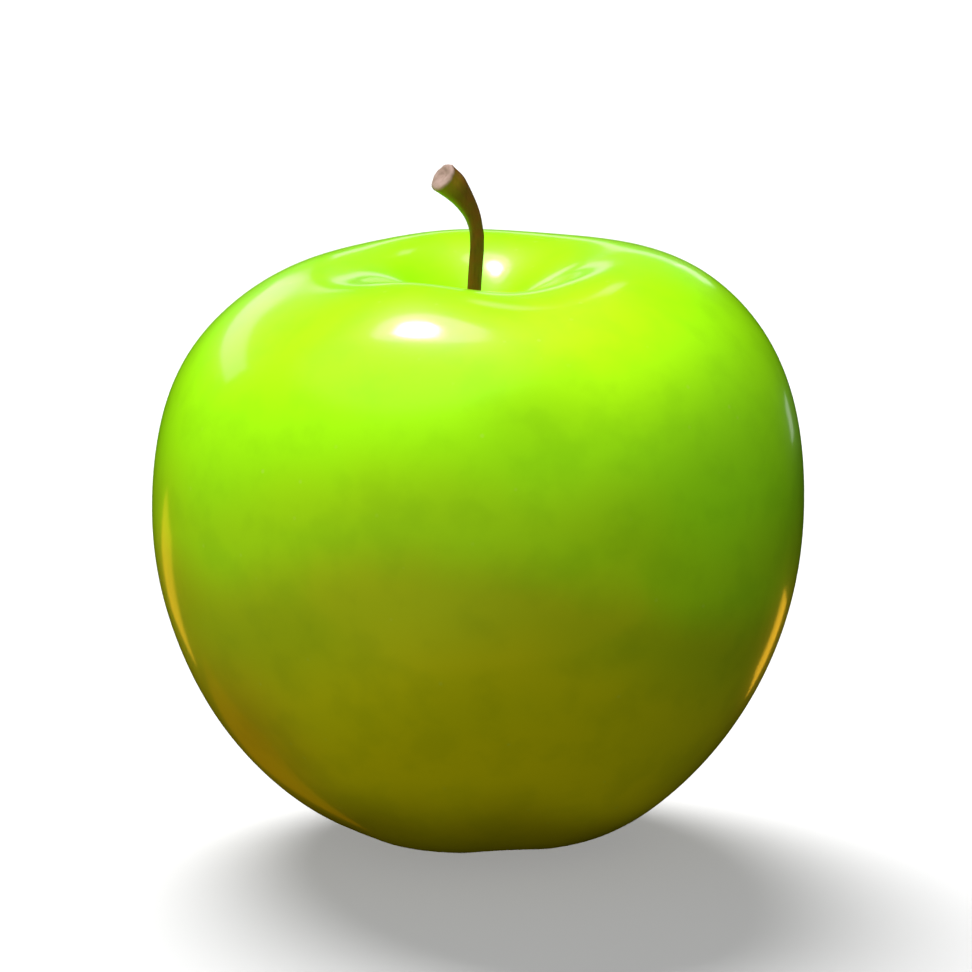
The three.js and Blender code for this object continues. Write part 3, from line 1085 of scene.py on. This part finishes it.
@dataclass
class Calyx:
    """The dried flower's remains in the basin: five sepals and the tuft of stamens between them."""

    fruit: Fruit
    clearance: float = 0.3
    sepal_count: int = 5
    sepal_thickness: float = 0.5
    sepal_root_depth: float = 0.6
    thread_diameter: float = 0.45
    seed: int = 7

    def build(self) -> list[bpy.types.Object]:
        """Makes and dresses all six pieces."""
        fruit, chance = self.fruit, np.random.default_rng(self.seed)
        middle = fruit.on_axis(fruit.basin_depth) * np.array([1.0, 1.0, 0.0])
        ring = fruit.calyx_radius - self.clearance - self.sepal_thickness / 2
        width = 2 * math.pi * ring / self.sepal_count - self.clearance
        tube_top = fruit.basin_depth + fruit.calyx_tube_depth
        pieces = [
            Sepal(
                number=index + 1,
                middle=middle,
                azimuth=fruit.rib_crest + 2 * math.pi * index / self.sepal_count,
                ring_radius=ring,
                root_height=fruit.basin_depth + self.sepal_root_depth,
                width=width,
            ).build(SepalFinish(), chance)
            for index in range(self.sepal_count)
        ]
        cushion_height = tube_top - self.clearance - self.thread_diameter
        tuft = Stamens(middle, fruit.calyx_radius - self.clearance, cushion_height)
        return [*pieces, tuft.build(StamenFinish(), chance)]


# ---- The studio ----


@dataclass(frozen=True)
class Camera:
    """A long lens a little above the fruit, its distance measured from a height on the axis."""

    distance: float = 850.0
    height: float = 198.2
    aim: tuple[float, float, float] = (0.9, 0.0, 41.9)
    lens: float = 263.0
    sensor_width: float = 36.0
    measured_from: float = 36.0

    def build(self) -> None:
        """Makes the scene's camera."""
        data = bpy.data.cameras.new("camera")
        data.lens = self.lens
        data.sensor_width = self.sensor_width
        data.clip_start, data.clip_end = 0.05, 50.0
        camera = add_object("camera", data)
        aim = Vector(self.aim)
        back = math.sqrt(self.distance**2 - (self.height - self.measured_from) ** 2)
        place = Vector((aim.x, -back, self.height))
        camera.location = place * MM
        camera.rotation_mode = "QUATERNION"
        camera.rotation_quaternion = (aim - place).to_track_quat("-Z", "Y")
        bpy.context.scene.camera = camera


class Face(Enum):
    """The outline of a softbox's face."""

    OBLONG = "RECTANGLE"
    OVAL = "ELLIPSE"


class Reach(Enum):
    """What a light reaches: the body colour of the fruit, its gloss, or the floor."""

    BODY = "body"
    GLOSS = "gloss"
    FLOOR = "floor"


def limit_to(light: bpy.types.Object, reach: Reach, floor: bpy.types.Object) -> None:
    """Makes a light reach only what it is for, and keeps it out of the camera's sight.

    Args:
        light: the light's object.
        reach: what it is for.
        floor: the floor's object, which a light for the fruit leaves alone.
    """
    light.visible_camera = False
    light.visible_glossy = reach is Reach.GLOSS
    light.visible_diffuse = reach is not Reach.GLOSS
    receivers = bpy.data.collections.new(f"{light.name}_receivers")
    receivers.objects.link(floor)
    if reach is not Reach.FLOOR:
        receivers.collection_objects[0].light_linking.link_state = "EXCLUDE"
    light.light_linking.receiver_collection = receivers


def direction(azimuth: float, elevation: float) -> Vector:
    """Unit vector of a direction in degrees: azimuth 0 is the camera's side, 90 the right, 180 behind."""
    across, up = math.radians(azimuth), math.radians(elevation)
    return Vector((math.sin(across) * math.cos(up), -math.cos(across) * math.cos(up), math.sin(up)))


@dataclass(frozen=True)
class Softbox:
    """A light with an oblong or oval face turned to the fruit, placed by its direction from there."""

    name: str
    azimuth: float
    elevation: float
    width: float
    height: float
    strength: float
    colour: Colour = (1.0, 1.0, 1.0)
    roll: float = 0.0
    face: Face = Face.OBLONG
    distance: float = 600.0
    aim: tuple[float, float, float] = (0.0, 0.0, 38.0)

    def build(self, floor: bpy.types.Object) -> None:
        """Makes the light. Its power grows with its area, so that the strength is its brightness."""
        data = bpy.data.lights.new(self.name, "AREA")
        data.shape = self.face.value
        data.size, data.size_y = self.width * MM, self.height * MM
        filled = math.pi / 4 if self.face is Face.OVAL else 1.0
        data.energy = self.strength * math.pi * filled * self.width * self.height * MM**2
        data.color = self.colour
        light = add_object(self.name, data)
        away = direction(self.azimuth, self.elevation)
        light.location = (Vector(self.aim) + away * self.distance) * MM
        light.rotation_mode = "QUATERNION"
        roll = Quaternion((0.0, 0.0, 1.0), math.radians(self.roll))
        light.rotation_quaternion = away.to_track_quat("Z", "Y") @ roll
        limit_to(light, Reach.GLOSS, floor)


@dataclass(frozen=True)
class FarLight:
    """An even light from far away, soft because it comes from a wide patch of sky."""

    name: str
    azimuth: float
    elevation: float
    spread: float
    strength: float
    reach: Reach
    casts_shadow: bool = True

    def build(self, floor: bpy.types.Object) -> None:
        """Makes the light. A white matt surface that faces it comes out at its strength."""
        data = bpy.data.lights.new(self.name, "SUN")
        data.angle = math.radians(self.spread)
        data.energy = self.strength * math.pi
        data.use_shadow = self.casts_shadow
        light = add_object(self.name, data)
        light.rotation_mode = "QUATERNION"
        light.rotation_quaternion = direction(self.azimuth, self.elevation).to_track_quat("Z", "Y")
        limit_to(light, self.reach, floor)


@dataclass(frozen=True)
class Studio:
    """A floor and surroundings that the camera sees as white, and the lights."""

    floor_radius: float = 20000.0
    floor_corners: int = 96
    floor_tone: float = 0.3
    backdrop: float = 1.0
    glow_above: float = 0.34
    glow_below: Colour = (0.50, 0.47, 0.38)
    glow_nadir: float = 0.05
    right_loss: float = 0.62

    def build(self) -> None:
        """Makes the floor, the world and the lights."""
        floor = self._floor()
        self._world()
        for light in [*self._main_lights(), *self._reflections()]:
            light.build(floor)

    def _main_lights(self) -> list[FarLight]:
        """The fruit's soft key, the floor's key, which lays the shadow, and the floor's fill."""
        return [
            FarLight("key", -80, 73, 62, 1.42, Reach.BODY),
            FarLight("floor_key", -167, 40, 36, 4.0, Reach.FLOOR),
            FarLight("floor_fill", 0, 89, 10, 1.0, Reach.FLOOR, casts_shadow=False),
        ]

    def _reflections(self) -> list[Softbox]:
        """The softboxes that show in the gloss: two above, strips behind, and warm ones low down."""
        amber = (1.0, 0.50, 0.03)
        return [
            Softbox("spot_core", -157, 70, 110, 95, 26.0, face=Face.OVAL),
            Softbox("spot_halo", -161, 69, 250, 190, 4.0, face=Face.OVAL),
            Softbox("strip_left", -148, 23, 460, 85, 1.4, roll=14),
            Softbox("strip_back", 177, 16, 200, 55, 1.2),
            Softbox("strip_right", 165, 15, 60, 50, 1.5),
            Softbox("glint_right", 172, 40, 30, 60, 1.6),
            Softbox("edge_right", 148, -2, 60, 50, 0.8),
            Softbox("amber_left", -144, -15, 190, 75, 1.6, amber, roll=35),
            Softbox("amber_right", 150, -20, 90, 80, 2.3, amber),
            Softbox("ember_left", -150, -33, 260, 150, 0.3, (1.0, 0.38, 0.0)),
            Softbox("front_low", 0, -31, 1800, 260, 0.55, (1.0, 0.5, 0.02)),
        ]

    def _floor(self) -> bpy.types.Object:
        """A round matt floor that only the camera sees, so that it throws no light back at the fruit."""
        ring = polar(self.floor_radius, whole_turn(self.floor_corners), 0.0) * MM
        mesh = bpy.data.meshes.new("floor")
        mesh.from_pydata(ring.tolist(), [], [list(range(self.floor_corners))])
        floor = add_object("floor", mesh)
        tone = (self.floor_tone, self.floor_tone, self.floor_tone, 1.0)
        matt = Shader("floor_white").finish(Base_Color=tone, Roughness=1.0, Specular_IOR_Level=0.0)
        floor.data.materials.append(matt)
        floor.visible_glossy = floor.visible_diffuse = floor.visible_shadow = False
        return floor

    def _world(self) -> None:
        """White to the camera, absent from gloss, and on skin a glow that is warmer and weaker from below.

        Formula of the glow: an eased step of the direction's Z from the colour below to grey above, where
        the colour below fades towards straight down and towards the right.
        """
        world = bpy.data.worlds.new("studio")
        world.use_nodes = True
        world.cycles_visibility.glossy = False
        bpy.context.scene.world = world
        tree = NodeTree(world.node_tree)
        rightward, _, upward = tree.parts(tree.add("ShaderNodeTexCoord", output="Generated"))
        above = (self.glow_above,) * 3
        nadir = tuple(self.glow_nadir * part for part in self.glow_below)
        right = tuple((1 - self.right_loss) * part for part in self.glow_below)
        below = tree.mix(rightward.step(-0.5, 0.9), self.glow_below, right)
        below = tree.mix(upward.step(-0.3, -0.8), below, nadir)
        glow = tree.mix(upward.step(-0.2, 0.3), below, above)
        is_camera = tree.add("ShaderNodeLightPath", output="Is Camera Ray")
        seen = tree.mix(is_camera, glow, (self.backdrop,) * 3)
        background = tree.add("ShaderNodeBackground", None, {"Color": seen})
        tree.add("ShaderNodeOutputWorld", None, {"Surface": background})


def main() -> None:
    """Builds the apple and its studio, and reports each piece."""
    logging.basicConfig(level=logging.INFO, format="%(name)s: %(message)s")
    bpy.context.scene.view_settings.view_transform = "Standard"
    Camera().build()
    Studio().build()
    fruit = Fruit()
    for piece in [fruit.build(SkinFinish()), Stalk(fruit).build(), *Calyx(fruit).build()]:
        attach(piece, "root")
        log.info("%s: %d faces", piece.name, len(piece.data.polygons))


if __name__ == "__main__":
    main()
